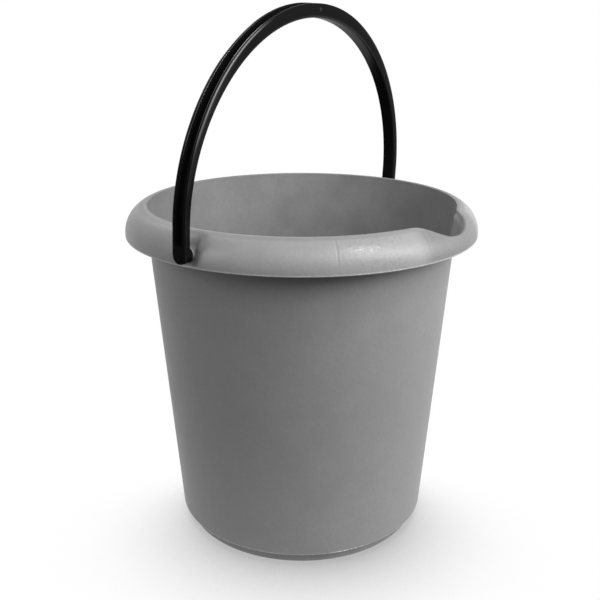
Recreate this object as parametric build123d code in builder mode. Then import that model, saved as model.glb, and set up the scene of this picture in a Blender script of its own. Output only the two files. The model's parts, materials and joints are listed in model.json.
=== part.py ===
"""Household cleaning bucket: a moulded tub with a rolled rim and a pouring spout, and a swinging bail handle.

Millimetres. The tub stands on the XY plane with its axis on Z and its spout towards -Y.
The handle turns about an axis parallel to X.
"""
import math
import os

from build123d import *

# Tub wall and floor
tub_height = 277.2
body_base_radius = 105.8
body_draft = 4.5
wall = 2.0
floor_thickness = 2.2
body_corner = 3.2
floor_corner = 6.0

# Foot ring under the floor
foot_height = 7.2
foot_width = 2.4
foot_setback = 5.0
foot_draft = 8.0
foot_edge_round = 0.5

# Rolled rim, with its skirt hanging outside the wall
rim_overhang = 16.0
rim_depth = 24.0
skirt_straight = 2.8
skirt_edge_round = 0.8
crest_round = 2.5

# Pouring spout, a round bay pressed outwards into the rim
spout_radius = 47.6
spout_lip = 2.8
spout_floor_drop = 18.7
spout_floor_slope = 8.0

# Pivot bosses, each standing in a scoop of the rim
pivot_drop = 14.3
scoop_depth = 3.8
scoop_rise = 1.4
scoop_radius = 28.0
scoop_ledge = 3.2
boss_radius = 7.2
boss_face_setback = 1.6
boss_length = 7.6
boss_edge_round = 0.5

# Bail handle, a channel that opens outwards
bail_gap = 1.3
bail_width = 11.7
bail_leg_depth = 6.0
bail_grip_depth = 10.0
bail_flange = 2.4
bail_web = 2.4
bail_inner_round = 1.2
bail_leg_straight = 18.2
bail_arch_height = 149.0
bail_lean = 3.0
channel_start = 7.5

# Handle eyes and snap pegs
eye_margin = 0.2
peg_radius = 4.5
peg_wall = 1.9
barb_height = 0.8
barb_length = 2.6
barb_taper = 1.4
slit_width = 1.5
slit_length = 5.0

# Clearances
peg_clearance = 0.3
end_play = 0.3
eye_clearance = 0.5

# Wall, rim and crest, worked out from the sizes above
draft_slope = math.tan(math.radians(body_draft))
wall_across = wall * math.hypot(1, draft_slope)
skirt_height = tub_height - rim_depth
rim_radius = body_base_radius + draft_slope * tub_height + rim_overhang
floor_top = foot_height + floor_thickness
lining_low = skirt_height - 2 * wall


def body_radius(z):
    """Radius of the wall's outer face at a height."""
    return body_base_radius + draft_slope * z


crest_z = tub_height - crest_round
crest_r = body_radius(crest_z) - wall_across + crest_round * math.hypot(1, draft_slope)

# The rim's outer face is one arc, upright at the skirt and tangent to the crest's round.
band_z = skirt_height + skirt_straight
band_reach = rim_radius - crest_r
band_rise = crest_z - band_z
band_radius = (band_reach**2 + band_rise**2 - crest_round**2) / (2 * (band_reach - crest_round))
band_r = rim_radius - band_radius
crest_angle = math.degrees(math.atan2(band_rise, crest_r - band_r))

# The hollow under the rim ends where the band's inner face meets the wall's outer face.
hollow_radius = band_radius - wall
wall_offset = body_radius(band_z) - band_r
hollow_chord = math.sqrt(hollow_radius**2 * (1 + draft_slope**2) - wall_offset**2)
hollow_rise = (hollow_chord - wall_offset * draft_slope) / (1 + draft_slope**2)
hollow_z = band_z + hollow_rise
hollow_angle = math.degrees(math.atan2(hollow_rise, body_radius(hollow_z) - band_r))

# Foot, spout and pivots
foot_top_radius = body_radius(foot_height) - foot_setback
foot_bottom_radius = foot_top_radius - foot_height * math.tan(math.radians(foot_draft))
spout_reach = rim_radius - spout_lip
spout_centre = spout_reach - spout_radius
pivot_height = tub_height - pivot_drop
scoop_bottom = skirt_height + scoop_ledge
scoop_centre = (band_r - scoop_depth, 0, band_z + scoop_rise)
scoop_ring_radius = band_radius + scoop_radius
boss_face = rim_radius - boss_face_setback
boss_back = boss_face - boss_length

# Handle, eyes and pegs
bail_inner = rim_radius + bail_gap
bail_outer = bail_inner + bail_leg_depth
bail_inner_arch = bail_arch_height - bail_grip_depth
eye_radius = bail_width / 2 + eye_margin
shoulder_face = boss_face + end_play
barb_face = boss_back - end_play
peg_end = barb_face - barb_length
lean = math.radians(bail_lean)
pivot_axis = Axis((0, 0, pivot_height), (1, 0, 0))
bail_plane = Plane(
    origin=(0, 0, pivot_height),
    x_dir=(1, 0, 0),
    z_dir=(0, -math.cos(lean), -math.sin(lean)),
)


def spout_floor_plane(drop):
    """The spout's sloping floor, or the plane that lies a distance under it."""
    slope = math.radians(spout_floor_slope)
    normal = Vector(0, math.sin(slope), math.cos(slope))
    floor_end = Vector(0, -spout_reach, tub_height - spout_floor_drop)
    return Plane(origin=floor_end - normal * drop, x_dir=(1, 0, 0), z_dir=normal)


def pivot_plane(x):
    """A plane across the pivot axis at a distance from the middle."""
    return Plane(origin=(x, 0, pivot_height), x_dir=(0, 1, 0), z_dir=(1, 0, 0))


def arch_lines(half_width, arch_height, foot):
    """Closed outline of a straight-legged arch that stands on a foot line in the handle's plane."""
    left = Line((-half_width, bail_leg_straight), (-half_width, foot))
    base = Line(left @ 1, (half_width, foot))
    Line(base @ 1, (half_width, bail_leg_straight))
    EllipticalCenterArc((0, bail_leg_straight), half_width, arch_height, 0, arc_size=180)


def runs_inside_arch(edge):
    """Whether an edge of the plain arch runs along its inner face, where the hand goes."""
    middle = bail_plane.to_local_coords(edge @ 0.5)
    along = abs(middle.Z) > bail_width / 4
    clear_of_sides = abs(middle.X) < bail_inner + bail_leg_depth / 4
    clear_of_top = middle.Y < bail_leg_straight + bail_inner_arch + bail_grip_depth / 4
    return along and clear_of_sides and clear_of_top


os.makedirs("parts", exist_ok=True)

# The rim filled solid, from which the linings of the spout and the scoops are cut
with BuildPart() as rim_block:
    with BuildSketch(Plane.XZ):
        with BuildLine():
            low = Line((body_radius(lining_low) - wall / 2, lining_low), (rim_radius, lining_low))
            side = Line(low @ 1, (rim_radius, band_z))
            band = CenterArc((band_r, band_z), band_radius, 0, crest_angle)
            crest = CenterArc((crest_r, crest_z), crest_round, crest_angle, 90 - crest_angle)
            down = Line(crest @ 1, (crest_r, crest_z))
            across = Line(down @ 1, (body_radius(crest_z) - wall / 2, crest_z))
            Line(across @ 1, low @ 0)
        make_face()
    revolve()

# Lining of the spout's bay
with BuildPart() as spout_lining:
    with BuildSketch(Plane.XY.offset(lining_low)):
        with Locations((0, -spout_centre)):
            Circle(spout_radius + wall)
    extrude(amount=tub_height - lining_low)
    add(rim_block.part, mode=Mode.INTERSECT)
    split(bisect_by=spout_floor_plane(wall), keep=Keep.TOP)

# Space of the spout's bay
with BuildPart() as spout_space:
    with BuildSketch(Plane.XY.offset(lining_low)):
        with Locations((0, -spout_centre)):
            Circle(spout_radius)
    extrude(amount=tub_height + wall - lining_low)
    split(bisect_by=spout_floor_plane(0), keep=Keep.TOP)

# Lining of one pivot scoop
with BuildPart() as scoop_lining:
    with Locations(scoop_centre):
        Torus(scoop_ring_radius, scoop_radius + wall, rotation=(90, 0, 0))
    split(bisect_by=Plane.XY.offset(scoop_bottom - wall), keep=Keep.TOP)
    split(bisect_by=Plane.YZ.offset(body_base_radius), keep=Keep.TOP)
    add(rim_block.part, mode=Mode.INTERSECT)

# Space of one pivot scoop
with BuildPart() as scoop_space:
    with Locations(scoop_centre):
        Torus(scoop_ring_radius, scoop_radius, rotation=(90, 0, 0))
    split(bisect_by=Plane.XY.offset(scoop_bottom), keep=Keep.TOP)
    split(bisect_by=Plane.YZ.offset(body_base_radius), keep=Keep.TOP)

# Room for the handle's eye in front of one boss
with BuildPart() as eye_room:
    with BuildSketch(pivot_plane(boss_face - boss_edge_round)):
        Circle(eye_radius + eye_clearance)
    extrude(amount=boss_edge_round + boss_face_setback + wall)

# Boss that carries one of the handle's pegs
with BuildPart() as pivot_boss:
    with BuildSketch(pivot_plane(boss_back)):
        Circle(boss_radius)
    extrude(amount=boss_length)
    fillet(pivot_boss.faces().sort_by(Axis.X)[-1].edges(), boss_edge_round)

# Hole through the boss
with BuildPart() as pivot_hole:
    with BuildSketch(pivot_plane(boss_back - wall)):
        Circle(peg_radius + peg_clearance)
    extrude(amount=boss_length + 2 * wall)

# Tub
with BuildPart() as tub:
    with BuildSketch(Plane.XZ):
        with BuildLine():
            under = Line((0, foot_height), (foot_bottom_radius - foot_width, foot_height))
            foot_inside = Line(under @ 1, (foot_bottom_radius - foot_width, 0))
            foot_face = Line(foot_inside @ 1, (foot_bottom_radius, 0))
            foot_side = Line(foot_face @ 1, (foot_top_radius, foot_height))
            step = Line(foot_side @ 1, (body_radius(foot_height), foot_height))
            outside = Line(step @ 1, (body_radius(hollow_z), hollow_z))
            hollow = CenterArc((band_r, band_z), hollow_radius, hollow_angle, -hollow_angle)
            skirt_inside = Line(hollow @ 1, (rim_radius - wall, skirt_height))
            skirt_edge = Line(skirt_inside @ 1, (rim_radius, skirt_height))
            Line(skirt_edge @ 1, (rim_radius, band_z))
            CenterArc((band_r, band_z), band_radius, 0, crest_angle)
            crest = CenterArc((crest_r, crest_z), crest_round, crest_angle, 180 - body_draft - crest_angle)
            inside = Line(crest @ 1, (body_radius(floor_top) - wall_across, floor_top))
            floor = Line(inside @ 1, (0, floor_top))
            Line(floor @ 1, under @ 0)
        make_face()
        fillet(vertices().sort_by_distance(step @ 1)[0], body_corner)
        fillet(vertices().sort_by_distance(floor @ 0)[0], floor_corner)
        fillet(vertices().sort_by_distance(skirt_edge @ 0.5)[:2], skirt_edge_round)
        fillet(vertices().sort_by_distance(foot_face @ 0.5)[:2], foot_edge_round)
    revolve()
    add(spout_lining.part)
    add(spout_space.part, mode=Mode.SUBTRACT)
    add(scoop_lining.part)
    mirror(scoop_lining.part, about=Plane.YZ)
    add(scoop_space.part, mode=Mode.SUBTRACT)
    mirror(scoop_space.part, about=Plane.YZ, mode=Mode.SUBTRACT)
    add(eye_room.part, mode=Mode.SUBTRACT)
    mirror(eye_room.part, about=Plane.YZ, mode=Mode.SUBTRACT)
    add(pivot_boss.part)
    mirror(pivot_boss.part, about=Plane.YZ)
    add(pivot_hole.part, mode=Mode.SUBTRACT)
    mirror(pivot_hole.part, about=Plane.YZ, mode=Mode.SUBTRACT)

tub.part.label = "tub"
export_step(tub.part, "parts/tub.step")

# Eye and hollow snap peg at one end of the handle
with BuildPart() as bail_end:
    with BuildSketch(bail_plane):
        with BuildLine():
            Polyline(
                (bail_outer, 0),
                (bail_outer, eye_radius),
                (shoulder_face, eye_radius),
                (shoulder_face, peg_radius),
                (barb_face, peg_radius),
                (barb_face, peg_radius + barb_height),
                (peg_end, peg_radius + barb_height - barb_taper),
                (peg_end, peg_radius - peg_wall),
                (shoulder_face, peg_radius - peg_wall),
                (shoulder_face, 0),
                close=True,
            )
        make_face()
    revolve(axis=pivot_axis)
    with BuildSketch(pivot_plane(peg_end)):
        Rectangle(2 * boss_radius, slit_width)
        Rectangle(slit_width, 2 * boss_radius)
    extrude(amount=slit_length, mode=Mode.SUBTRACT)

# Bail handle
with BuildPart() as bail_handle:
    with BuildSketch(bail_plane):
        with BuildLine():
            arch_lines(bail_outer, bail_arch_height, 0)
        make_face()
        with BuildLine():
            arch_lines(bail_inner, bail_inner_arch, 0)
        make_face(mode=Mode.SUBTRACT)
    extrude(amount=bail_width / 2, both=True)
    fillet(bail_handle.edges().filter_by(runs_inside_arch), bail_inner_round)
    with BuildSketch(bail_plane):
        with BuildLine():
            arch_lines(bail_outer + bail_web, bail_arch_height + bail_web, channel_start)
        make_face()
        with BuildLine():
            arch_lines(bail_inner + bail_web, bail_inner_arch + bail_web, channel_start)
        make_face(mode=Mode.SUBTRACT)
    extrude(amount=bail_width / 2 - bail_flange, both=True, mode=Mode.SUBTRACT)
    add(bail_end.part)
    mirror(bail_end.part, about=Plane.YZ)

bail_handle.part.label = "bail_handle"
export_step(bail_handle.part, "parts/bail_handle.step")
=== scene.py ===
# %% [markdown]
# # A cleaning bucket
#
# The bucket is two mouldings: a grey tub with a rolled rim and a pouring spout, and a black bail
# handle that snaps into two bosses in the rim. Their measured solids are loaded first. They stay
# where they are and give the places and sizes that everything below is worked out from.

# %% Load the measured solids
import json
import math

import bmesh
import bpy
import numpy as np
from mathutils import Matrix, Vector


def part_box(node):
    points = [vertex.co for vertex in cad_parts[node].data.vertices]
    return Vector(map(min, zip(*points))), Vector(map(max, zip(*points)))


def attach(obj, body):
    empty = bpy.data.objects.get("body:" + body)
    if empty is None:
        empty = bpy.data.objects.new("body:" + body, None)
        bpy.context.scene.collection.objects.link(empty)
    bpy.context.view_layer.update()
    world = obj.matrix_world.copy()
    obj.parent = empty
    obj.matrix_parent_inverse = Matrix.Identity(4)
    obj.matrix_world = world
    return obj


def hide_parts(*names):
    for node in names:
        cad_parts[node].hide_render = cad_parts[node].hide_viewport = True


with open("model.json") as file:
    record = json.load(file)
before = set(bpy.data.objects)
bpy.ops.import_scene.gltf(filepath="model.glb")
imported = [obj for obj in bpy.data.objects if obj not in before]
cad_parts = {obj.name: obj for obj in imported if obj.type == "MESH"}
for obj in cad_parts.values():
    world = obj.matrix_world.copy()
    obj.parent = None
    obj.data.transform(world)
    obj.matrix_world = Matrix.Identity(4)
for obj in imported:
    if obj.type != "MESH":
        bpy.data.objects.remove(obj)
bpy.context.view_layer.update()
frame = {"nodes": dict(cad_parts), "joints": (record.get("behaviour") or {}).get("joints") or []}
tub_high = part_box("tub")[1]
handle_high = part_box("bail_handle")[1]
pivot_z = frame["joints"][0]["pos_m"][2]
print("solids:", sorted(frame["nodes"]), "pivot height:", round(pivot_z, 4))

# %% [markdown]
# ## Camera
#
# The picture was taken with a mildly long lens, a little above the rim, from the side where the
# spout points to the right. The camera is put there by its distance from the bucket's axis, its
# height and its bearing, and is tipped down until the bucket fills the square frame.

# %% Camera
camera_distance = 0.6895
camera_height = 0.4180
camera_bearing = math.radians(56)
camera_aim = math.radians(55.891)
camera_tilt = math.radians(18.28)
camera_lens = 51.0
camera_sensor = 36.0

camera_data = bpy.data.cameras.new("camera")
camera_data.lens = camera_lens
camera_data.sensor_width = camera_sensor
camera = bpy.data.objects.new("camera", camera_data)
camera.location = (
    -camera_distance * math.sin(camera_bearing),
    -camera_distance * math.cos(camera_bearing),
    camera_height,
)
camera.rotation_euler = (math.pi / 2 - camera_tilt, 0, -camera_aim)
bpy.context.scene.collection.objects.link(camera)
bpy.context.scene.camera = camera
print("camera at", [round(value, 3) for value in camera.location])

# %% [markdown]
# ## Writing a finish as sums
#
# A finish is a graph of shader nodes. Long graphs are hard to read as links, so a small class wraps
# a socket and lets Python's own operators add the Math nodes. Every other kind of node comes from
# one method, which takes the node's type, its settings and the values of its sockets.


# %% Values that change over a surface
class Value:
    """A number or vector that changes over a surface. Sums with it add Math nodes to its finish."""

    def __init__(self, finish, socket):
        self.finish = finish
        self.socket = socket

    def math(self, operation, first, second):
        return self.finish.node("ShaderNodeMath", {"operation": operation}, {0: first, 1: second})

    def __add__(self, other):
        return self.math("ADD", self, other)

    def __mul__(self, other):
        return self.math("MULTIPLY", self, other)

    def __sub__(self, other):
        return self.math("SUBTRACT", self, other)

    def __rsub__(self, other):
        return self.math("SUBTRACT", other, self)

    __radd__ = __add__
    __rmul__ = __mul__

    def __pow__(self, power):
        return self.math("POWER", self, power)

    def __abs__(self):
        return self.math("ABSOLUTE", self, 0.0)

    def at_least(self, low):
        """The value, or a low limit where the value lies below it."""
        return self.math("MAXIMUM", self, low)

    def rise(self, low, high):
        """A smooth step from 0 at the low value to 1 at the high one."""
        return self.finish.node(
            "ShaderNodeMapRange",
            {"interpolation_type": "SMOOTHSTEP"},
            {"Value": self, "From Min": low, "From Max": high},
        )

    def near(self, middle, reach):
        """1 at a middle value, falling smoothly to 0 at a distance from it."""
        return 1 - abs(self - middle).rise(0.0, reach)


print("sums on values ready")


# %% Finishes and their nodes
class Finish:
    """A node tree under construction."""

    def __init__(self, tree):
        self.tree = tree
        self.tree.nodes.clear()

    def node(self, kind, settings=None, sockets=None, result=0):
        """Add one node, set it up and return one of its outputs, if it has any."""
        made = self.tree.nodes.new(kind)
        for name, value in (settings or {}).items():
            setattr(made, name, value)
        for key, value in (sockets or {}).items():
            if isinstance(value, Value):
                self.tree.links.new(value.socket, made.inputs[key])
            else:
                made.inputs[key].default_value = value
        return Value(self, made.outputs[result]) if made.outputs else None

    def place(self):
        """The point on the object, in metres."""
        return self.node("ShaderNodeTexCoord", result="Object")

    def parts(self, place):
        """The three coordinates of a point."""
        return [
            self.node("ShaderNodeSeparateXYZ", sockets={0: place}, result=name) for name in "XYZ"
        ]

    def noise(self, place, scale, detail):
        """Cloudy noise around 0.5 with blotches of about 1 / scale metres."""
        return self.node(
            "ShaderNodeTexNoise", sockets={"Vector": place, "Scale": scale, "Detail": detail}
        )

    def mix(self, share, first, second):
        """One colour turning into another."""
        return self.node(
            "ShaderNodeMix", {"data_type": "RGBA"}, {0: share, 6: first, 7: second}, result=2
        )

    def sees_background(self):
        """1 for the rays that should find white surroundings: camera, mirror and glass rays."""
        path = ("Is Camera Ray", "Is Glossy Ray", "Is Transmission Ray")
        camera_ray, mirror_ray, glass_ray = (
            self.node("ShaderNodeLightPath", result=name) for name in path
        )
        return camera_ray + mirror_ray + glass_ray


def new_finish(name):
    """A new material with an empty node tree, and the finish to build in it."""
    material = bpy.data.materials.new(name)
    material.use_nodes = True
    return material, Finish(material.node_tree)


def grey(level):
    """A neutral colour of one linear level."""
    return (level, level, level, 1.0)


print("finishes ready")

# %% [markdown]
# ## White table and surroundings
#
# The bucket stands on a seamless white table in white surroundings. Such a table is easiest to make
# as a surface that glows: it is plain white to the camera and in reflections, and lights the bucket
# from below as white paper does. Its shadow comes from an Ambient Occlusion node, which finds how
# much sky a spot of the table sees past the bucket. The node looks backwards and towards the
# bucket's axis, so the shadow lies mostly in front and to both sides. A Map Range node then says how
# much sky counts as clear, and how dark the table gets where there is little of it.

# %% White table
table_size = 40.0
table_bounce = 0.60
bounce_fade = (0.12, 0.36)
shadow_reach = 0.268
shadow_lean = 1.30
shadow_pull = 6.8
shadow_sky = (0.283, 0.657)
shadow_samples = 24
darkest = 0.47

bpy.ops.object.select_all(action="DESELECT")
bpy.ops.mesh.primitive_plane_add(size=table_size)
table = bpy.context.object
table.name = "table"

table_material, paint = new_finish("white_table")
shown = paint.sees_background()
away = paint.node("ShaderNodeVectorMath", {"operation": "LENGTH"}, {0: paint.place()}, "Value")
east, north, _ = paint.parts(paint.place())
across = east * math.cos(camera_aim) - north * math.sin(camera_aim)
looks = paint.node(
    "ShaderNodeCombineXYZ",
    sockets={
        "X": shadow_lean * math.sin(camera_aim) - across * (shadow_pull * math.cos(camera_aim)),
        "Y": shadow_lean * math.cos(camera_aim) + across * (shadow_pull * math.sin(camera_aim)),
        "Z": 1.0,
    },
)
looks = paint.node("ShaderNodeVectorMath", {"operation": "NORMALIZE"}, {0: looks})
open_sky = paint.node(
    "ShaderNodeAmbientOcclusion",
    {"samples": shadow_samples},
    {"Distance": shadow_reach, "Normal": looks},
    result="AO",
)
cloudy, clear = shadow_sky
white = paint.node(
    "ShaderNodeMapRange",
    sockets={"Value": open_sky, "From Min": cloudy, "From Max": clear, "To Min": darkest},
)
bounce = table_bounce * (1 - away.rise(*bounce_fade))
glow = paint.node("ShaderNodeEmission", sockets={"Strength": shown * white + (1 - shown) * bounce})
paint.node("ShaderNodeOutputMaterial", sockets={"Surface": glow})
table.data.materials.append(table_material)
print("table", table_size, "m wide")

# %% White surroundings
ambient = 0.01

world = bpy.data.worlds.new("white_surroundings")
world.use_nodes = True
bpy.context.scene.world = world
sky = Finish(world.node_tree)
strength = ambient + sky.sees_background() * (1 - ambient)
backdrop = sky.node("ShaderNodeBackground", sockets={"Color": grey(1.0), "Strength": strength})
sky.node("ShaderNodeOutputWorld", sockets={"Surface": backdrop})
bpy.context.scene.view_settings.view_transform = "Standard"
print("ambient light", ambient)

# %% [markdown]
# ## Lamps
#
# Soft boxes stand round the bucket. The strong ones are in front, from near the camera round to the
# spout's side, where they stand lower and lower. Another lifts the left edge, a small high one makes
# the broken highlight on the rim, and one behind keeps the back from going dark.

# %% Lamps
lamp_distance = 1.3
aim_height = 0.16


def soft_lamp(name, bearing, elevation, size, power):
    """A square soft box that faces the middle of the bucket from a bearing round its axis."""
    lamp_data = bpy.data.lights.new(name, "AREA")
    lamp_data.size = size
    lamp_data.energy = power
    lamp = bpy.data.objects.new(name, lamp_data)
    turn = math.radians(bearing)
    rise = math.radians(elevation)
    out = lamp_distance * math.cos(rise)
    up = lamp_distance * math.sin(rise)
    lamp.location = (out * math.cos(turn), out * math.sin(turn), aim_height + up)
    lamp.rotation_euler = (math.pi / 2 - rise, 0, turn + math.pi / 2)
    bpy.context.scene.collection.objects.link(lamp)
    return lamp


lamps = [
    soft_lamp("key_lamp", bearing=-128, elevation=42, size=0.8, power=4.6),
    soft_lamp("front_lamp", bearing=-98, elevation=36, size=0.6, power=6.2),
    soft_lamp("side_lamp", bearing=-75, elevation=26, size=0.6, power=6.0),
    soft_lamp("low_lamp", bearing=-60, elevation=12, size=0.6, power=3.2),
    soft_lamp("left_lamp", bearing=148, elevation=26, size=0.6, power=4.0),
    soft_lamp("rim_lamp", bearing=-94, elevation=55, size=0.16, power=3.6),
    soft_lamp("back_lamp", bearing=68, elevation=45, size=0.5, power=2.8),
]
print("lamps:", [lamp.name for lamp in lamps])

# %% [markdown]
# ## Tools of the bench
#
# The next cells wrap the steps that come up again and again when a mesh is modelled by hand: start
# from a primitive, pick what to work on by its place, apply a modifier for good, shade a piece, and
# draw an outline point by point and spin it round an axis.

# %% Starting, picking, joining and shading
smooth_angle = math.radians(32)


def only(piece):
    """Select one object, and nothing else, and make it the active one."""
    bpy.ops.object.select_all(action="DESELECT")
    piece.select_set(True)
    bpy.context.view_layer.objects.active = piece


def start_from(add, name, scale=(1, 1, 1), **settings):
    """Add a primitive with nothing else selected, and put its place and size into its mesh."""
    bpy.ops.object.select_all(action="DESELECT")
    add(**settings)
    piece = bpy.context.object
    piece.name = name
    piece.scale = scale
    bpy.ops.object.transform_apply(location=True, rotation=True, scale=True)
    return piece


def pick(kind, test):
    """In edit mode, select only the verts, edges or faces that pass a test, and count them."""
    bpy.ops.mesh.select_mode(type={"verts": "VERT", "edges": "EDGE", "faces": "FACE"}[kind])
    bpy.ops.mesh.select_all(action="DESELECT")
    mesh = bpy.context.object.data
    net = bmesh.from_edit_mesh(mesh)
    found = [item for item in getattr(net, kind) if test(item)]
    for item in found:
        item.select_set(True)
    net.select_flush_mode()
    bmesh.update_edit_mesh(mesh)
    return len(found)


def apply_modifier(piece, kind, **settings):
    """Add one modifier to a piece and apply it."""
    only(piece)
    modifier = piece.modifiers.new(kind, kind)
    for name, value in settings.items():
        setattr(modifier, name, value)
    bpy.ops.object.modifier_apply(modifier=modifier.name)


def combine(piece, operation, tool):
    """Join a tool's solid to a piece or cut it away, and remove the tool."""
    apply_modifier(piece, "BOOLEAN", operation=operation, object=tool, solver="EXACT")
    bpy.data.objects.remove(tool)


def shade_smooth(piece):
    """Shade a piece smooth, apart from its sharp edges."""
    only(piece)
    bpy.ops.object.shade_smooth_by_angle(angle=smooth_angle)


print("edges sharper than", round(math.degrees(smooth_angle)), "degrees stay sharp")

# %% Drawing and spinning an outline
merge_distance = 2e-6


def spin_outline(name, points, axis, centre, steps):
    """Draw an outline point by point and spin it all the way round an axis."""
    piece = start_from(bpy.ops.mesh.primitive_plane_add, name)
    bpy.ops.object.mode_set(mode="EDIT")
    bpy.ops.mesh.select_mode(type="VERT")
    bpy.ops.mesh.select_all(action="SELECT")
    bpy.ops.mesh.merge(type="CENTER")
    bpy.ops.transform.translate(value=points[0])
    for step in np.diff(points, axis=0):
        bpy.ops.mesh.extrude_vertices_move(TRANSFORM_OT_translate={"value": tuple(step)})
    bpy.ops.mesh.select_all(action="SELECT")
    bpy.ops.mesh.spin(steps=steps, angle=2 * math.pi, center=centre, axis=axis)
    bpy.ops.mesh.select_all(action="SELECT")
    bpy.ops.mesh.remove_doubles(threshold=merge_distance)
    bpy.ops.mesh.normals_make_consistent(inside=False)
    bpy.ops.object.mode_set(mode="OBJECT")
    return piece


print("points closer than", merge_distance, "m are merged")

# %% [markdown]
# ## Tub: sizes
#
# The tub is a thin moulded cone. Its lower edge is rounded and stands on a narrow foot ring. Its rim
# rolls over outwards in one large arc, the band, and hangs down as a short skirt, so that the space
# under it is hollow. All heights and radii follow from the solid's box and these few sizes.

# %% Tub sizes
tub_height = tub_high.z
rim_radius = tub_high.x
wall = 0.0020
floor_thickness = 0.0022
draft_angle = 4.5
draft = math.tan(math.radians(draft_angle))
wall_across = wall * math.hypot(1, draft)
body_corner = 0.0018
floor_corner = 0.0060

foot_height = 0.0090
foot_width = 0.0024
foot_setback = 0.0050
foot_lean = 8
foot_slope = math.tan(math.radians(foot_lean))
foot_round = 0.0005

rim_overhang = 0.0160
rim_depth = 0.0240
skirt_straight = 0.0028
skirt_round = 0.0008
crest_round = 0.0025
crest_edge = 0.0006
body_base = rim_radius - rim_overhang - draft * tub_height


def body_radius(z):
    """Radius of the wall's outer face at a height."""
    return body_base + draft * z


def inner_radius(z):
    """Radius of the wall's inner face at a height."""
    return body_radius(z) - wall_across


skirt_z = tub_height - rim_depth
band_z = skirt_z + skirt_straight
crest_z = tub_height - crest_round
crest_inside = inner_radius(crest_z)
crest_r = crest_inside + crest_round * math.hypot(1, draft)
band_reach = rim_radius - crest_r
band_rise = crest_z - band_z
band_radius = (band_reach**2 + band_rise**2 - crest_round**2) / (2 * (band_reach - crest_round))
band_r = rim_radius - band_radius
hollow_radius = band_radius - wall
print("tub", round(2 * rim_radius, 4), "m across, band radius", round(band_radius, 5))

# %% [markdown]
# ## Tub: the section at one angle
#
# A round tub is best spun from its section, the outline that a saw cut through the axis would show.
# The spout and the two pivot scoops break the roundness, but only in the rim. So the section is
# written as a function of the angle: the same points everywhere, with those of the rim moved out
# where the spout's bay is, and in where a scoop is. Spinning the plain section gives a mesh whose
# columns can then take their own sections.


# %% Curves for the section
def arc(centre, radius, start, end, count):
    """Points along a round stretch, with angles in degrees from straight outwards."""
    turn = np.radians(np.linspace(start, end, count))
    return np.column_stack((centre[0] + radius * np.cos(turn), centre[1] + radius * np.sin(turn)))


def between(first, last, count):
    """Points along a straight stretch, without its two ends."""
    share = np.linspace(0, 1, count + 2)[1:-1, None]
    return (1 - share) * np.array(first) + share * np.array(last)


def smooth_step(low, high, value):
    """0 below a low value, 1 above a high one, and a smooth ramp between them."""
    share = np.clip((value - low) / (high - low), 0, 1)
    return share * share * (3 - 2 * share)


def soft_max(first, second, blur):
    """The larger of two values, with the kink where they cross rounded off."""
    return (first + second + np.sqrt((first - second) ** 2 + blur**2)) / 2


print("curves ready")

# %% Foot, body and inside, which are the same all round
gate_radius = 0.0040
gate_depth = 0.0006
rim_start = 0.2480
underside_rings = 3
root_rings = 3
foot_rings = 4
corner_rings = 8
wall_rings = 8
floor_rings = 5


def lower_outline():
    """From the underside's middle, round the foot ring and up the wall to just under the rim."""
    foot_top = body_radius(foot_height) - foot_setback
    foot_low = foot_top - foot_height * foot_slope
    foot_inside = foot_low - foot_width
    root_z = foot_height - foot_round
    gate_z = foot_height - gate_depth
    corner_z = foot_height + body_corner
    corner_r = body_radius(corner_z) - body_corner * math.hypot(1, draft)
    return np.vstack((
        [(0, gate_z), (gate_radius - gate_depth, gate_z), (gate_radius, foot_height)],
        between((gate_radius, foot_height), (foot_inside, foot_height), underside_rings),
        arc((foot_inside - foot_round, root_z), foot_round, 90, 0, root_rings),
        arc((foot_inside + foot_round, foot_round), foot_round, 180, 270, foot_rings),
        arc((foot_low - foot_round, foot_round), foot_round, 270, 360 - foot_lean, foot_rings),
        arc((foot_top + foot_round, root_z), foot_round, 180 - foot_lean, 90, root_rings),
        arc((corner_r, corner_z), body_corner, 270, 360 - draft_angle, corner_rings),
        between((body_radius(corner_z), corner_z), (body_radius(rim_start), rim_start), wall_rings),
    ))


def inner_outline():
    """Down the inner face from just under the rim, and across the floor to its middle."""
    floor_top = foot_height + floor_thickness
    corner_z = floor_top + floor_corner
    corner_r = inner_radius(corner_z) - floor_corner * math.hypot(1, draft)
    wall_top = (inner_radius(rim_start), rim_start)
    return np.vstack((
        between(wall_top, (inner_radius(corner_z), corner_z), wall_rings),
        arc((corner_r, corner_z), floor_corner, -draft_angle, -90, corner_rings),
        between((corner_r, floor_top), (0, floor_top), floor_rings),
        [(0, floor_top)],
    ))


print("points outside:", len(lower_outline()), "and inside:", len(inner_outline()))

# %% [markdown]
# ## Tub: spout and scoops in the section
#
# The spout is an oval bay, a little squarer than an ellipse, that is pressed outwards into the rim.
# Its wall leans outwards. The rim's crest moves out to the top of that wall, which is the pouring
# lip. Since the band outside stays where it is, the lip drops by itself as it moves out. The bay has
# a floor that slopes back into the tub, and its two corners are rounded off.
#
# Each pivot sits in a scoop, a dent in the band whose sides roll over into it in a large round. It
# narrows downwards, runs out under the crest and is cut off below by a ledge.

# %% Spout
spout_angle = math.radians(-90)
bay_reach = 0.1384
bay_half_width = 0.0327
bay_depth = 0.0272
bay_centre = bay_reach - bay_depth
bay_power = 2.25
bay_away = 0.3
bay_lean = 25
bay_slope = math.tan(math.radians(bay_lean))
bay_floor_end = 0.2585
bay_floor_lean = 8
bay_floor_slope = math.tan(math.radians(bay_floor_lean))
oval_steps = 200

quarter = np.linspace(0, math.pi / 2, oval_steps)
oval_across = bay_half_width * np.sin(quarter) ** (2 / bay_power)
oval_along = bay_centre + bay_depth * np.cos(quarter) ** (2 / bay_power)
oval_angle = np.arctan2(oval_across, oval_along)
oval_radius = np.hypot(oval_across, oval_along)


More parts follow.
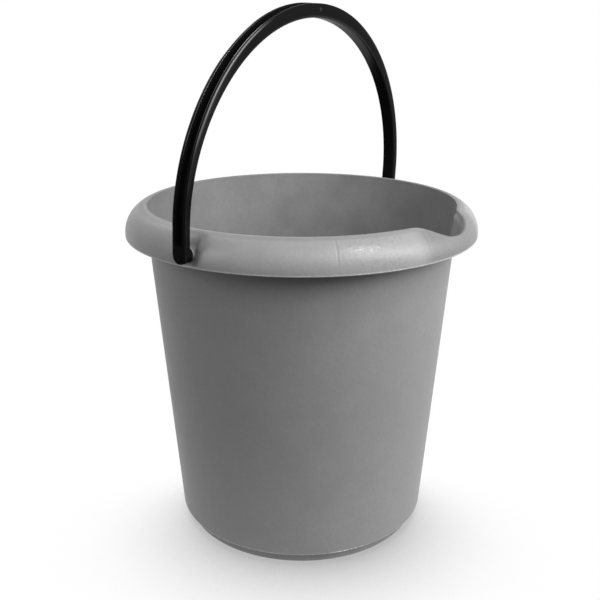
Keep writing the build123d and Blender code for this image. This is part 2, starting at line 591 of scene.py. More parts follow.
def bay_wall(off_spout):
    """Distance from the axis to the bay's oval, at an angle from the middle of the spout."""
    past_oval = max(off_spout - oval_angle[-1], 0)
    return np.interp(off_spout, oval_angle, oval_radius) - bay_away * past_oval


def bay_floor(radius, off_spout):
    """Height of the bay's floor."""
    return bay_floor_end - bay_floor_slope * (bay_reach - radius * math.cos(off_spout))


spout_lip_z = band_z + math.sqrt(band_radius**2 - (bay_reach - band_r) ** 2)
print("lip drops", round(tub_height - spout_lip_z, 4))

# %% Scoops
scoop_depth = (0.0048, 0.0062)
scoop_top = (math.radians(46), math.radians(72))
scoop_floor = 0.0008
scoop_width = (0.0125, 0.0180)
scoop_flare = math.radians(55)
scoop_blur = 0.0024
scoop_ledge = (0.2536, 0.2572)


def scoop_dent(turn, aside):
    """How far a scoop presses the band in, at a turn of the band and a distance from the pivot."""
    flare = smooth_step(0, scoop_flare, turn)
    width = scoop_width[0] + (scoop_width[1] - scoop_width[0]) * flare
    depth = scoop_depth[0] + (scoop_depth[1] - scoop_depth[0]) * flare
    past_floor = soft_max(abs(aside) - scoop_floor, 0, scoop_blur)
    up_wall = np.clip(past_floor / (width - scoop_floor), 0, 1)
    return depth * (1 - smooth_step(*scoop_top, turn)) * (1 - up_wall) ** 2


print("scoop", round(scoop_dent(0.0, 0.0), 4), "m deep at its ledge")

# %% The hollow under the rim
hollow_shut = math.radians(18.2)
hollow_open = math.radians(21.0)
hollow_rings = 10
under_rings = 3
drop_rings = 1
edge_rings = 5
wall_gap = body_radius(band_z) - band_r
hollow_chord = math.sqrt(hollow_radius**2 * (1 + draft**2) - wall_gap**2)
hollow_rise = (hollow_chord - wall_gap * draft) / (1 + draft**2)
hollow_angle = math.atan2(hollow_rise, wall_gap + draft * hollow_rise)


def under_rim(off_spout, aside):
    """Up the wall's outer face, round the hollow and down the skirt's inner face."""
    arch = np.linspace(hollow_angle, 0, hollow_rings)
    reach = hollow_radius - scoop_dent(arch, aside)
    hollow = np.column_stack((band_r + reach * np.cos(arch), band_z + reach * np.sin(arch)))
    roof_r = np.linspace(body_radius(rim_start), rim_radius - wall, hollow_rings)
    roof = np.column_stack((roof_r, [bay_floor(r, off_spout) - wall for r in roof_r]))
    shut = 1 - smooth_step(hollow_shut, hollow_open, off_spout)
    hollow = (1 - shut) * hollow + shut * roof
    skirt_r = rim_radius - wall - scoop_dent(0.0, aside)
    edge_z = skirt_z + skirt_round
    return np.vstack((
        [(body_radius(rim_start), rim_start)],
        between((body_radius(rim_start), rim_start), hollow[0], under_rings),
        hollow,
        between(hollow[-1], (skirt_r, edge_z), drop_rings),
        arc((skirt_r + skirt_round, edge_z), skirt_round, 180, 270, edge_rings),
    ))


print("hollow meets the wall at", round(math.degrees(hollow_angle), 1), "degrees")

# %% The band and the crest
skirt_rings = 7
band_rings = 24
crest_rings = 7


def over_rim(inside, top, outer_round, lip_end, aside):
    """From the skirt's edge up the band and over the flat crest or lip to its crisp inner edge."""
    lip_z = top - outer_round
    lip_r = band_r + math.sqrt((band_radius - outer_round) ** 2 - (lip_z - band_z) ** 2)
    edge_z = skirt_z + skirt_round
    skirt_rise = np.linspace(edge_z, band_z, skirt_rings)[1:]
    skirt_r = rim_radius - scoop_dent(0.0, aside) * smooth_step(*scoop_ledge, skirt_rise)
    lip_start = math.atan2(lip_z - band_z, lip_r - band_r)
    turn = np.linspace(0, lip_start, band_rings)[1:]
    reach = band_radius - scoop_dent(turn, aside)
    return np.vstack((
        arc((rim_radius - skirt_round, edge_z), skirt_round, 270, 360, edge_rings),
        np.column_stack((skirt_r, skirt_rise)),
        np.column_stack((band_r + reach * np.cos(turn), band_z + reach * np.sin(turn))),
        arc((lip_r, lip_z), outer_round, math.degrees(lip_start), 90, crest_rings)[1:],
        arc((inside + crest_edge, top - crest_edge), crest_edge, 90, lip_end, crest_rings),
    ))


print("rings on the band:", band_rings)

# %% The inside of the spout
bay_fillet = 0.0030
bay_edge = 0.0015
fillet_share = 0.4
edge_share = 0.3
corner_blur = 0.0070
crease_blur = 0.0012
crease_drop = 0.0040
ledge_grow = 0.0060
bay_wall_rings = 8
bay_round_rings = 5
bay_floor_rings = 4
spout_rings = bay_wall_rings + 2 * bay_round_rings + bay_floor_rings


def spout_inside(off_spout, bay, lip_z):
    """Down the bay's wall and across its floor, or just down the tub's wall where there is no bay."""
    heights = np.linspace(lip_z, rim_start, spout_rings + 2)[1:-1]
    leaning = bay - bay_slope * (lip_z - heights)
    blur = corner_blur + (crease_blur - corner_blur) * smooth_step(0, crease_drop, lip_z - heights)
    plain = np.column_stack((soft_max(inner_radius(heights), leaning, blur), heights))
    back_r = inner_radius(bay_floor_end)
    foot_r = bay - bay_slope * (lip_z - bay_floor_end)
    width = foot_r - back_r
    if width <= 0:
        return plain
    fillet = min(bay_fillet, fillet_share * width)
    edge = min(bay_edge, edge_share * width)
    floor_out = (foot_r - fillet, bay_floor(foot_r - fillet, off_spout))
    floor_in = (back_r + edge, bay_floor(back_r + edge, off_spout))
    stepped = np.vstack((
        between((bay, lip_z), (foot_r, floor_out[1] + fillet), bay_wall_rings),
        arc((floor_out[0], floor_out[1] + fillet), fillet, -bay_lean, -90, bay_round_rings),
        between(floor_out, floor_in, bay_floor_rings),
        arc((floor_in[0], floor_in[1] - edge), edge, 90, 180, bay_round_rings),
    ))
    share = smooth_step(0, ledge_grow, width)
    return (1 - share) * plain + share * stepped


print("rings in the spout:", spout_rings)

# %% The whole section
lip_round = 0.0008


def lip_height(inside):
    """Height of a thin lip whose inner edge is at a radius and whose outer edge lies on the band."""
    out = inside + lip_round - band_r
    return band_z + math.sqrt((band_radius - lip_round) ** 2 - out**2) + lip_round


def section(angle):
    """The whole outline of the tub's cut face at one angle round its axis."""
    off_spout = abs((angle - spout_angle + math.pi) % (2 * math.pi) - math.pi)
    aside = rim_radius * math.sin(angle)
    bay = bay_wall(off_spout)
    in_bay = smooth_step(0, ledge_grow, bay - crest_inside)
    outer_round = crest_round + (lip_round - crest_round) * in_bay
    inside = soft_max(crest_inside, bay, corner_blur)
    top = tub_height + lip_height(inside) - lip_height(crest_inside)
    lip_end = 180 - draft_angle - (bay_lean - draft_angle) * in_bay
    return np.vstack((
        lower_outline(),
        under_rim(off_spout, aside),
        over_rim(inside, top, outer_round, lip_end, aside),
        spout_inside(off_spout, bay, top - lip_round),
        [(inner_radius(rim_start), rim_start)],
        inner_outline(),
    ))


opposite_spout = spout_angle + math.pi
plain_section = section(opposite_spout)
print("section:", len(plain_section), "points")

# %% [markdown]
# ## Tub: spinning the section
#
# The plain section is drawn point by point and spun. Columns are then spread unevenly: close
# together at the spout's two corners, along its lip and round the pivots, where the shape turns
# sharply, and wider apart where the tub is plain. Each column takes the section of its own angle.

# %% Spin the tub
columns = 440
outline = np.column_stack((plain_section[:, 0], np.zeros(len(plain_section)), plain_section[:, 1]))
tub = spin_outline("bucket_tub", outline, axis=(0, 0, 1), centre=(0, 0, 0), steps=columns)
print("tub mesh:", len(tub.data.vertices), "points", len(tub.data.polygons), "faces")

# %% Choose the columns' angles
fine_steps = 7200
corner_angle = math.radians(15.5)
corner_spread = math.radians(3)
corner_crowd = 5
lip_span = (math.radians(17), math.radians(24))
lip_crowd = 1.2
pivot_spread = math.radians(7)
pivot_crowd = 2.5

fine_turn = np.linspace(0, 2 * math.pi, fine_steps + 1)
from_spout = np.minimum(fine_turn, 2 * math.pi - fine_turn)
from_pivot = abs(from_spout - math.pi / 2)
crowding = (
    1
    + corner_crowd * np.exp(-(((from_spout - corner_angle) / corner_spread) ** 2))
    + lip_crowd * (1 - smooth_step(*lip_span, from_spout))
    + pivot_crowd * np.exp(-((from_pivot / pivot_spread) ** 2))
)
shares = np.concatenate(([0], np.cumsum((crowding[1:] + crowding[:-1]) / 2)))
even_shares = np.arange(columns) / columns
column_angles = spout_angle + np.interp(even_shares, shares / shares[-1], fine_turn)
finest = math.degrees(np.diff(column_angles).min())
print("columns:", columns, "finest step", round(finest, 3), "degrees")

# %% Give each column its own section
points = np.empty(3 * len(tub.data.vertices), dtype=np.float32)
tub.data.vertices.foreach_get("co", points)
points = points.reshape(-1, 3).astype(float)
radii = np.hypot(points[:, 0], points[:, 1])
ring = np.array([
    np.argmin(np.hypot(plain_section[:, 0] - r, plain_section[:, 1] - z))
    for r, z in zip(radii, points[:, 2])
])
turn = np.arctan2(points[:, 1], points[:, 0])
column = np.rint(turn / (2 * math.pi) * columns).astype(int) % columns
sections = np.array([section(angle) for angle in column_angles])
new_radii = sections[column, ring, 0]
new_points = np.column_stack((
    new_radii * np.cos(column_angles[column]),
    new_radii * np.sin(column_angles[column]),
    sections[column, ring, 1],
))
tub.data.vertices.foreach_set("co", new_points.astype(np.float32).ravel())
tub.data.update()
print("points placed:", len(new_points))

# %% [markdown]
# ## Tub: pivot bosses
#
# In each scoop stands a round boss with a hole for the handle's peg. A cylinder with a rounded edge
# is modelled once, mirrored to the other side and joined to the tub with a Boolean, and a second
# cylinder cuts the hole. A Boolean suits here, as the scoop's dent is no simple shape to bridge.

# %% Pivot bosses
boss_radius = 0.0051
boss_sink = 0.0010
boss_face = rim_radius - boss_sink
boss_length = 0.0116
boss_round = 0.0005
boss_segments = 3
boss_sides = 96
peg_radius = 0.0045
peg_room = 0.0003
facing_out = 0.9


def peg_cylinder(name, radius, near, far):
    """A cylinder along the pivot axis, from one distance to another."""
    return start_from(
        bpy.ops.mesh.primitive_cylinder_add,
        name,
        vertices=boss_sides,
        radius=radius,
        depth=far - near,
        location=((near + far) / 2, 0, pivot_z),
        rotation=(0, math.radians(90), 0),
    )


bosses = peg_cylinder("bosses", boss_radius, boss_face - boss_length, boss_face)
bpy.ops.object.mode_set(mode="EDIT")
pick("faces", lambda face: face.normal.x > facing_out)
bpy.ops.mesh.bevel(offset=boss_round, segments=boss_segments, affect="EDGES")
bpy.ops.object.mode_set(mode="OBJECT")
apply_modifier(bosses, "MIRROR")
combine(tub, "UNION", bosses)

hole_end = boss_face - boss_length - wall
holes = peg_cylinder("holes", peg_radius + peg_room, hole_end, boss_face + wall)
apply_modifier(holes, "MIRROR")
combine(tub, "DIFFERENCE", holes)
shade_smooth(tub)
print("tub with bosses:", len(tub.data.polygons), "faces")

# %% [markdown]
# ## Handle: the arch
#
# The handle is one black moulding: a strap that arches over the tub, with straight legs that end in
# round eyes. Its inner side, where the hand goes, is rounded, and its outer side is a channel
# between two thin flanges, which keeps the strap stiff and light. Two half ellipses make its side
# view, one for each face. They are bridged to a flat band and extruded to the strap's width.

# %% Handle sizes
handle_outer = handle_high.x
leg_depth = 0.0060
handle_inner = handle_outer - leg_depth
grip_depth = 0.0106
handle_width = 0.0117
leg_straight = 0.0182
outer_rise = 0.1490
inner_rise = outer_rise - grip_depth
arch_z = pivot_z + leg_straight
inner_match = 1e-4
outer_match = 2e-3


def on_arch(vert, half_width, rise, match):
    """Whether a vert lies on a straight-legged half ellipse."""
    height = max(vert.co.z - arch_z, 0)
    return abs(math.hypot(vert.co.x / half_width, height / rise) - 1) < match


print("handle", round(2 * handle_outer, 4), "m wide")

# %% Draw, bridge and extrude the arch
arch_sides = 256
leg_steps = 8


def half_arch(name, half_width, rise):
    """A chain of edges: the upper half of an ellipse on two straight legs."""
    chain = start_from(
        bpy.ops.mesh.primitive_circle_add,
        name,
        scale=(half_width, rise, 1),
        vertices=arch_sides,
        radius=1,
        location=(0, 0, arch_z),
        rotation=(math.radians(90), 0, 0),
    )
    bpy.ops.object.mode_set(mode="EDIT")
    pick("verts", lambda vert: vert.co.z < arch_z - merge_distance)
    bpy.ops.mesh.delete(type="VERT")
    pick("verts", lambda vert: vert.co.z < arch_z + merge_distance)
    for step in range(leg_steps):
        drop = (0, 0, -leg_straight / leg_steps)
        bpy.ops.mesh.extrude_vertices_move(TRANSFORM_OT_translate={"value": drop})
    bpy.ops.object.mode_set(mode="OBJECT")
    return chain


inner_chain = half_arch("inner_chain", handle_inner, inner_rise)
handle = half_arch("bail_handle_moulding", handle_outer, outer_rise)
inner_chain.select_set(True)
bpy.ops.object.join()
bpy.ops.object.mode_set(mode="EDIT")
bpy.ops.mesh.select_mode(type="EDGE")
bpy.ops.mesh.select_all(action="SELECT")
bpy.ops.mesh.bridge_edge_loops()
bpy.ops.mesh.select_all(action="SELECT")
bpy.ops.transform.translate(value=(0, -handle_width / 2, 0))
bpy.ops.mesh.select_mode(type="FACE")
bpy.ops.mesh.select_all(action="SELECT")
bpy.ops.mesh.extrude_region_move(TRANSFORM_OT_translate={"value": (0, handle_width, 0)})
bpy.ops.mesh.select_all(action="SELECT")
bpy.ops.mesh.normals_make_consistent(inside=False)
bpy.ops.object.mode_set(mode="OBJECT")
print("arch:", len(handle.data.polygons), "faces")

# %% [markdown]
# ## Handle: grip, channel and edges
#
# The two inner edges are bevelled with a large radius for the hand. The outer faces are then inset
# by the thickness of a flange and pushed in towards the arch's centre, which sinks the channel. A
# small bevel on everything that is still sharp gives the flanges their bright edges.

# %% Shape the strap
inner_round = 0.0018
inner_segments = 6
flange = 0.0024
web = 0.0024
channel_start = 0.0050
edge_round = 0.0006
edge_segments = 3
sharp_angle = math.radians(40)
facing_aside = 0.5


def along_inner(edge):
    """Whether an edge runs along the arch's inner face, not across it."""
    first, last = edge.verts
    inner = all(on_arch(vert, handle_inner, inner_rise, inner_match) for vert in edge.verts)
    return inner and abs(first.co.y - last.co.y) < merge_distance


def over_channel(face):
    """Whether a face lies on the arch's outer side, above the channel's ends."""
    outer = all(on_arch(vert, handle_outer, outer_rise, outer_match) for vert in face.verts)
    above = face.calc_center_median().z > pivot_z + channel_start
    return outer and above and abs(face.normal.y) < facing_aside


def sharp_above_pivot(edge):
    """Whether an edge is sharp, and not part of the legs' cut ends."""
    top = max(vert.co.z for vert in edge.verts)
    return edge.calc_face_angle(0) > sharp_angle and top > pivot_z + merge_distance


bpy.ops.object.mode_set(mode="EDIT")
rounded = pick("edges", along_inner)
bpy.ops.mesh.bevel(
    offset=inner_round, segments=inner_segments, affect="EDGES", clamp_overlap=False
)
sunk = pick("faces", over_channel)
bpy.ops.mesh.inset(thickness=flange, depth=0)
bpy.ops.mesh.extrude_region_move(TRANSFORM_OT_translate={"value": (0, 0, 0)})
sink = ((handle_inner + web) / handle_outer, 1, (inner_rise + web) / outer_rise)
bpy.ops.transform.resize(value=sink, center_override=(0, 0, arch_z))
pick("edges", sharp_above_pivot)
bpy.ops.mesh.bevel(offset=edge_round, segments=edge_segments, affect="EDGES", clamp_overlap=True)
bpy.ops.object.mode_set(mode="OBJECT")
print("rounded", rounded, "edges, sank", sunk, "faces")

# %% [markdown]
# ## Handle: eyes and snap pegs
#
# Each leg ends in a round eye with a hollow peg that points inwards. The peg has a barb at its end
# and two crossed slits, so that it gives way when it is pressed through the boss. An eye is round,
# so it is spun from its outline about the pivot axis, and crossed slabs cut the slits. The number of
# its sides can't be divided by four, because a corner that lies exactly in the plane of the legs' cut
# ends can upset the Boolean that joins them.

# %% Eyes and pegs
eye_margin = 0.0002
eye_setback = 0.00005
eye_radius = handle_width / 2 + eye_margin
eye_face = handle_outer - eye_setback
eye_round = 0.0006
eye_rings = 5
eye_sides = 98
end_room = 0.0003
shoulder = boss_face + end_room
barb_face = boss_face - boss_length - end_room
barb_height = 0.0008
barb_length = 0.0026
barb_taper = 0.0014
peg_end = barb_face - barb_length
peg_wall = 0.0019
bore = peg_radius - peg_wall

eye_outline = np.vstack((
    [(eye_face, 0)],
    arc((eye_face - eye_round, eye_radius - eye_round), eye_round, 0, 90, eye_rings),
    [
        (shoulder, eye_radius),
        (shoulder, peg_radius),
        (barb_face, peg_radius),
        (barb_face, peg_radius + barb_height),
        (peg_end, peg_radius + barb_height - barb_taper),
        (peg_end, bore),
        (shoulder, bore),
        (shoulder, 0),
    ],
))
eye_x, eye_up = eye_outline.T
eye_points = np.column_stack((eye_x, np.zeros(len(eye_x)), pivot_z + eye_up))
eyes = spin_outline("eyes", eye_points, axis=(1, 0, 0), centre=(0, 0, pivot_z), steps=eye_sides)
print("eye and peg", round(eye_face - peg_end, 4), "m long")

# %% Slits in the pegs
slit_width = 0.0015
slit_length = 0.0050
slab_side = 4 * peg_radius

for width, height in ((slit_width, slab_side), (slab_side, slit_width)):
    slab_size = (2 * slit_length, width, height)
    slab_place = (peg_end, 0, pivot_z)
    slab = start_from(
        bpy.ops.mesh.primitive_cube_add, "slab", scale=slab_size, size=1, location=slab_place
    )
    combine(eyes, "DIFFERENCE", slab)
apply_modifier(eyes, "MIRROR")
combine(handle, "UNION", eyes)
print("handle with eyes:", len(handle.data.polygons), "faces")

# %% [markdown]
# ## Handle: lean
#
# The handle rests a few degrees off upright, towards the spout. It is turned about the pivot axis in
# edit mode, so that its own origin stays where it is.

# %% Lean the handle
lean = math.radians(3)

only(handle)
bpy.ops.object.mode_set(mode="EDIT")
bpy.ops.mesh.select_all(action="SELECT")
bpy.ops.transform.rotate(value=-lean, orient_axis="X", center_override=(0, 0, pivot_z))
bpy.ops.object.mode_set(mode="OBJECT")
shade_smooth(handle)
crown = max(handle.data.vertices, key=lambda vert: vert.co.z).co
print("crown at", [round(value, 4) for value in crown])

# %% [markdown]
# ## Grey tub plastic: places and patterns
#
# The tub is satin polypropylene, mid grey, with the fine grain of a spark-eroded mould. The flowing
# plastic has left faint clouds in it. What a spot looks like depends on where it is, so the finish
# first works out masks, which are 1 in a region and 0 elsewhere. The rim and the inner side are told
# apart by the distance from the wall's outer face, and an upright line by its bearing from the
# spout. Each line has a mirror image, because the two sides of the mould are alike.

# %% Places and patterns on the tub
rim_off_wall = (0.0030, 0.0060)
rim_fade = 0.0020
inside_off_wall = (-0.0016, -0.0008)
grain_noise = (1700.0, 3.0)
cloud_noise = (42.0, 3.0)
cloud_rise = (0.30, 0.70)
mottle_noise = (330.0, 2.0)
mottle_rise = (0.30, 0.70)
speck_noise = (620.0, 3.0)
speck_rise = (0.45, 0.62)
blotch_noise = (230.0, 2.0)
blotch_rise = (0.35, 0.58)


class TubSpot:
    """A point on the tub: its place, the regions that it can lie in and the plastic's patterns."""

    def __init__(self, finish):
        point = finish.place()
        self.x, self.y, self.z = finish.parts(point)
        above_pivot = self.z - pivot_z
        self.from_pivot = (self.y * self.y + above_pivot * above_pivot) ** 0.5
        self.off_wall = (self.x * self.x + self.y * self.y) ** 0.5 - draft * self.z - body_base
        self.rim = self.off_wall.rise(*rim_off_wall) * self.z.rise(skirt_z - rim_fade, skirt_z)
        self.inside = 1 - self.off_wall.rise(*inside_off_wall)
        self.grain = finish.noise(point, *grain_noise)
        self.clouds = finish.noise(point, *cloud_noise).rise(*cloud_rise)
        self.mottle = finish.noise(point, *mottle_noise).rise(*mottle_rise)
        self.specks = finish.noise(point, *speck_noise).rise(*speck_rise)
        self.blotches = finish.noise(point, *blotch_noise).rise(*blotch_rise)

    def past(self, bearing):
        """How far the point lies past an upright plane at a bearing from the spout, on either side."""
        turn = math.radians(bearing)
        return abs(self.x) * math.cos(turn) + self.y * math.sin(turn)

    def line(self, bearing, width):
        """An upright line at a bearing from the spout, and its mirror image on the other side."""
        return self.past(bearing).near(0.0, width)


print("grain", round(1000 / grain_noise[0], 2), "mm, clouds", round(1000 / cloud_noise[0]), "mm")

# %% [markdown]
# ## Grey tub plastic: wear, painted light and flow marks
#
# Some edges are lighter, partly from rubbing and partly as painted highlight: the skirt's lower
# edge, the lower edge of the wall and the ring round each pivot. On the spout's side the wall's
# lower edge has white specks, which are painted glints. The top of each boss, in the pocket that the
# scoop leaves there, is painted darker as shade. Where two streams of plastic met in the mould, a
# thin line runs across the rim, and paler streaks run up the inner side.

# %% Worn edges, painted highlights and painted pocket shade
# The lighter edge lines below are partly wear and partly painted highlight.
wall_line_width = 0.0011
wall_edge_off_wall = (-0.0045, -0.0030)
wall_line_levels = (0.30, 0.50)
skirt_line_width = 0.0016
skirt_line_levels = (0.65, 0.35)
boss_line_width = 0.0008
glint_bearing = 35.0
glint_reach = 0.020
glint_strength = 1.6
# Where the painted shade in the pockets round the pivots lies.
pocket_reach = (0.0060, 0.0120)
pocket_depth = (0.0016, 0.0030)
pocket_shade_height = 0.0030


def wall_edge(at):
    """The lower edge of the wall, just over the foot ring."""
    edge = at.z.near(foot_height + wall_line_width, wall_line_width)
    return edge * at.off_wall.rise(*wall_edge_off_wall)


# Painted highlight, partly wear: lighter lines on the skirt's and wall's lower edges and round each
# boss.
def worn_and_highlit_edges(at):
    """Lighter skirt and wall edges, with specks, and pivot rings: partly wear, partly painted
    highlight.
    """
    skirt_edge = at.rim * (1 - at.z.rise(skirt_z + skirt_line_width / 2, skirt_z + skirt_line_width))
    skirt = skirt_edge * (skirt_line_levels[0] + skirt_line_levels[1] * at.specks)
    body = wall_edge(at) * (wall_line_levels[0] + wall_line_levels[1] * at.specks)
    on_face = abs(at.x).rise(boss_face - boss_line_width, boss_face)
    return skirt + body + at.from_pivot.near(boss_radius, boss_line_width) * on_face


# Painted glints, where light catches the wall's lower edge on the spout's side.
def painted_glints(at):
    """Painted glints: white specks along the wall's lower edge on the spout's side."""
    return glint_strength * wall_edge(at) * at.line(glint_bearing, glint_reach) * at.specks


# Painted shade: the top of each boss, in its pocket, is made darker where shade falls.
def painted_pocket_shade(at):
    """Painted shade on top of each boss, where the scoop leaves a pocket."""
    shallow, deep = pocket_depth
    in_pocket = 1 - abs(at.x).rise(rim_radius - deep, rim_radius - shallow)
    on_boss = at.z.rise(pivot_z - pocket_shade_height, pivot_z + pocket_shade_height)
    return at.rim * in_pocket * on_boss * (1 - at.from_pivot.rise(*pocket_reach))


print("rubbed edges", 1000 * wall_line_width, "and", 1000 * skirt_line_width, "mm wide")

# %% Flow marks
spout_weld = 16.5
weld_width = 0.0014
weld_places = ((46.0, 0.258, 0.262), (spout_weld, 0.261, 0.265))
streak_width = 0.0022
streak_places = ((124.0, 0.255, 0.274), (135.3, 0.262, 0.275))


def flow_marks(at, region, width, places):
    """Upright lines in one region of the tub, each fading in between two heights."""
    marks = 0.0
    for bearing, low, high in places:
        marks = marks + region * at.line(bearing, width) * at.z.rise(low, high)
    return marks


print("weld lines:", 2 * len(weld_places), "streaks:", 2 * len(streak_places))

# %% [markdown]
# ## Grey tub plastic: colour and gloss
#
# The colour is a sum of small steps lighter or darker than the tub's grey, and edges that are partly
# rubbed and partly painted highlight, and painted glints, are mixed in on top. The rim is painted
# paler than the wall as painted light, except at the spout, where it is painted darker as shade,
# and the inner side is painted darker as shade too. The rim is handled most, so it is smoother, but
# rough in specks. One stretch of it beside the spout is polished in blotches, which breaks up the
# lamp's highlight. The same patterns feed a Bump node, as relief that is too fine for a mesh.

# %% Tub colour
tub_grey = 0.25
cloud_tone = 0.016
mottle_tone = 0.010
# Painted light and shade on the rim: paler where light falls from above, darker at the spout.
rim_painted_light = 0.060
spout_painted_shade = -0.058
spout_fade = (-0.008, 0.012)
# Painted shade: the inner side is made darker, as the shade inside the tub.
inside_painted_shade = -0.030
streak_tone = 0.014
weld_tone = -0.034
# Painted shade: how much darker the top of each boss is, in its pocket.
pocket_shade_tone = -0.20
# Grey of the lighter edges, partly wear and partly painted highlight.
worn_and_highlight_grey = 0.62
# Painted glints: near-white specks on the wall's lower edge.
glint_grey = 0.95


def tub_colour(finish, at, welds):
    """Mid grey with clouds and flow marks, painted light and shade, and worn and highlit edges."""
    off_spout = at.past(spout_weld).rise(*spout_fade)
    shade = tub_grey + cloud_tone * at.clouds + mottle_tone * at.mottle
    shade = shade + at.rim * (spout_painted_shade + (rim_painted_light - spout_painted_shade) * off_spout)
    shade = shade + at.inside * (inside_painted_shade + cloud_tone * at.clouds)
    streaks = flow_marks(at, at.inside, streak_width, streak_places)
    shade = shade + streak_tone * streaks + weld_tone * welds + pocket_shade_tone * painted_pocket_shade(at)
    colour = finish.mix(worn_and_highlit_edges(at), shade, grey(worn_and_highlight_grey))
    return finish.mix(painted_glints(at), colour, grey(glint_grey))


print("tub grey", tub_grey)

# %% Tub plastic
polish_bearing = 33.0
polish_reach = 0.042
tub_rough = 0.46
cloud_rough = 0.06
rim_smooth = 0.14
speck_rough = 0.10
polish_smooth = 0.19
mottle_relief = 0.8
speck_relief = 0.3
polish_relief = 0.6
weld_relief = -1.8
bump_strength = 0.22
bump_distance = 0.0003
tub_specular = 0.4


def tub_plastic():
    """Satin polypropylene with a fine grain, a smoother rim and a polished stretch on it."""
    material, finish = new_finish("tub_plastic_grey")
    at = TubSpot(finish)
    welds = flow_marks(at, at.rim, weld_width, weld_places)
    polish = at.rim * at.line(polish_bearing, polish_reach) * at.blotches
    rough = tub_rough + cloud_rough * at.clouds - polish_smooth * polish
    rough = rough - at.rim * (rim_smooth - speck_rough * at.specks)
    height = at.grain + mottle_relief * at.mottle + speck_relief * at.rim * at.specks
    height = height + polish_relief * polish + weld_relief * welds
    bump = finish.node(
        "ShaderNodeBump",
        sockets={"Strength": bump_strength, "Distance": bump_distance, "Height": height},
    )
    shader = finish.node(
        "ShaderNodeBsdfPrincipled",
        sockets={
            "Base Color": tub_colour(finish, at, welds),
            "Roughness": rough,
            "Normal": bump,
            "Specular IOR Level": tub_specular,
        },
    )
    finish.node("ShaderNodeOutputMaterial", sockets={"Surface": shader})
    return material


tub.data.materials.clear()
tub.data.materials.append(tub_plastic())
print("tub finish:", tub.data.materials[0].name)

# %% [markdown]
# ## Black handle plastic
#
# The handle is black plastic from a polished mould. Its faces stay deep black, and only the rubbed
# edges of the flanges are glossy enough to draw bright lines. The strap's sides and the inside of
# the grip have a trace of gloss. So the plastic itself is dull, and the gloss is a clear coat that
# is laid on by place. A Mapping node takes the handle's lean away, and then the distance from the
# strap's middle plane and from its two ellipses tells where the edges are.

# %% Places on the handle
grip_heights = (0.098, 0.145)
far_arm_span = (-0.02, 0.05)


class HandleSpot:
    """A point on the upright handle, measured from the middle of the pivot axis."""

    def __init__(self, finish):
        self.point = finish.node(
            "ShaderNodeMapping",
            {"vector_type": "TEXTURE"},
            {"Vector": finish.place(), "Location": (0, 0, pivot_z), "Rotation": (lean, 0, 0)},
        )
        self.x, self.y, self.z = finish.parts(self.point)
        self.crown = self.z.rise(*grip_heights)
        self.far_arm = self.x.rise(*far_arm_span)

    def past_ellipse(self, half_width, rise):
        """About how far the point lies outside a straight-legged half ellipse, in metres."""
        along = self.x * (1 / half_width)
        over = (self.z - leg_straight).at_least(0.0) * (1 / rise)
        return ((along * along + over * over) ** 0.5 - 1) * half_width


print("grip starts", grip_heights[0], "m over the pivots")

# %% Gloss and marks on the handle
half_strap = handle_width / 2
line_width = 0.0007
line_heights = (0.060, 0.120, 0.146, 0.158)
line_gloss = (0.62, 0.22)
side_gloss = (0.038, 0.009)
far_dulling = 0.6
grip_gloss = 0.15
grip_wrap = 1.5 * inner_round
gate_place = (0.0050, 0.1628)
gate_ring = 0.0010
gate_line = 0.0005


def flange_lines(at):
    """Glossy edges of the two flanges, between two heights, weaker on the far arm."""
    on_top = at.past_ellipse(handle_outer, outer_rise).rise(-2 * line_width, -line_width)
    outer_edge = abs(at.y).near(half_strap - edge_round / 2, line_width)
    inner_edge = abs(at.y).near(half_strap - flange, line_width)
    start, full, fade, end = line_heights
    lines = on_top * (outer_edge + inner_edge) * at.z.rise(start, full) * (1 - at.z.rise(fade, end))
    near_gloss, far_gloss = line_gloss
    return lines * (near_gloss + (far_gloss - near_gloss) * at.far_arm)


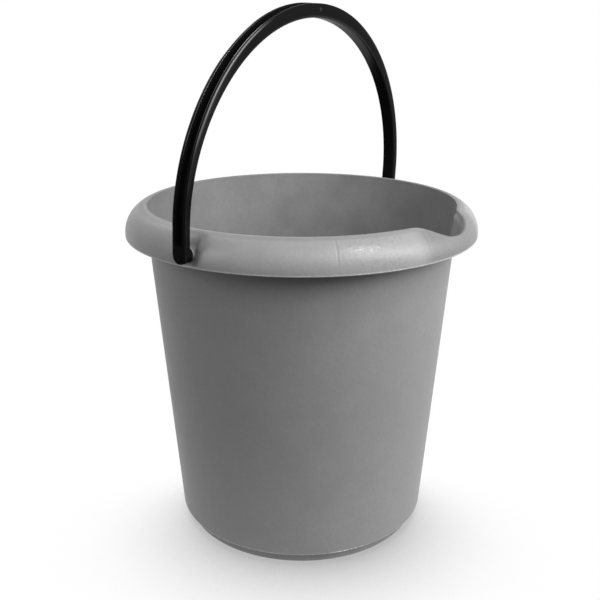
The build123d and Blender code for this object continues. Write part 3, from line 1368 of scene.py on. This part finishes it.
def side_sheen(at):
    """A trace of gloss on the strap's sides, weaker at the crown and on the far arm."""
    side = abs(at.y).rise(half_strap - edge_round, half_strap - edge_round / 4)
    leg_gloss, crown_gloss = side_gloss
    side = side * (leg_gloss + (crown_gloss - leg_gloss) * at.crown)
    return side * (1 - far_dulling * at.far_arm)


def grip_sheen(at):
    """Some gloss inside the crown, where the hand rubs."""
    grip = 1 - at.past_ellipse(handle_inner, inner_rise).rise(0.0, grip_wrap)
    return grip_gloss * grip * at.crown


def gate_mark(at):
    """A small ring on the crown's spout side, where the plastic was let into the mould."""
    across, up = gate_place
    from_gate = ((at.x - across) ** 2.0 + (at.z - up) ** 2.0) ** 0.5
    on_side = 1 - at.y.rise(-half_strap, -half_strap + edge_round)
    return from_gate.near(gate_ring, gate_line) * on_side


print("bright lines", 1000 * line_width, "mm wide")

# %% Handle plastic
scuff_noise = (900.0, 3.0)
wave_noise = (90.0, 2.0)
handle_black = 0.0052
scuff_tone = 0.0024
gate_grey = 0.06
handle_rough = 0.32
wave_rough = 0.10
handle_specular = 0.01
coat_rough = 0.14
coat_ior = 2.8


def handle_plastic():
    """Dull black plastic with glossy, rubbed flange edges and the mark of the mould's gate."""
    material, finish = new_finish("handle_plastic_black")
    at = HandleSpot(finish)
    scuffs = finish.noise(at.point, *scuff_noise)
    waves = finish.noise(at.point, *wave_noise)
    black = handle_black + scuff_tone * scuffs
    shader = finish.node(
        "ShaderNodeBsdfPrincipled",
        sockets={
            "Base Color": finish.mix(gate_mark(at), black, grey(gate_grey)),
            "Roughness": handle_rough + wave_rough * waves,
            "Specular IOR Level": handle_specular,
            "Coat Weight": flange_lines(at) + side_sheen(at) + grip_sheen(at),
            "Coat Roughness": coat_rough,
            "Coat IOR": coat_ior,
        },
    )
    finish.node("ShaderNodeOutputMaterial", sockets={"Surface": shader})
    return material


handle.data.materials.clear()
handle.data.materials.append(handle_plastic())
print("handle finish:", handle.data.materials[0].name)

# %% [markdown]
# ## Put the pieces on their bodies
#
# Each finished mesh takes the place of its measured solid and rides on the same body.

# %% Attach and finish
for piece, body, node, slot in (
    (tub, "tub", "tub", "tub_plastic"),
    (handle, "bail", "bail_handle", "handle_plastic"),
):
    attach(piece, body)
    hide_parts(node)
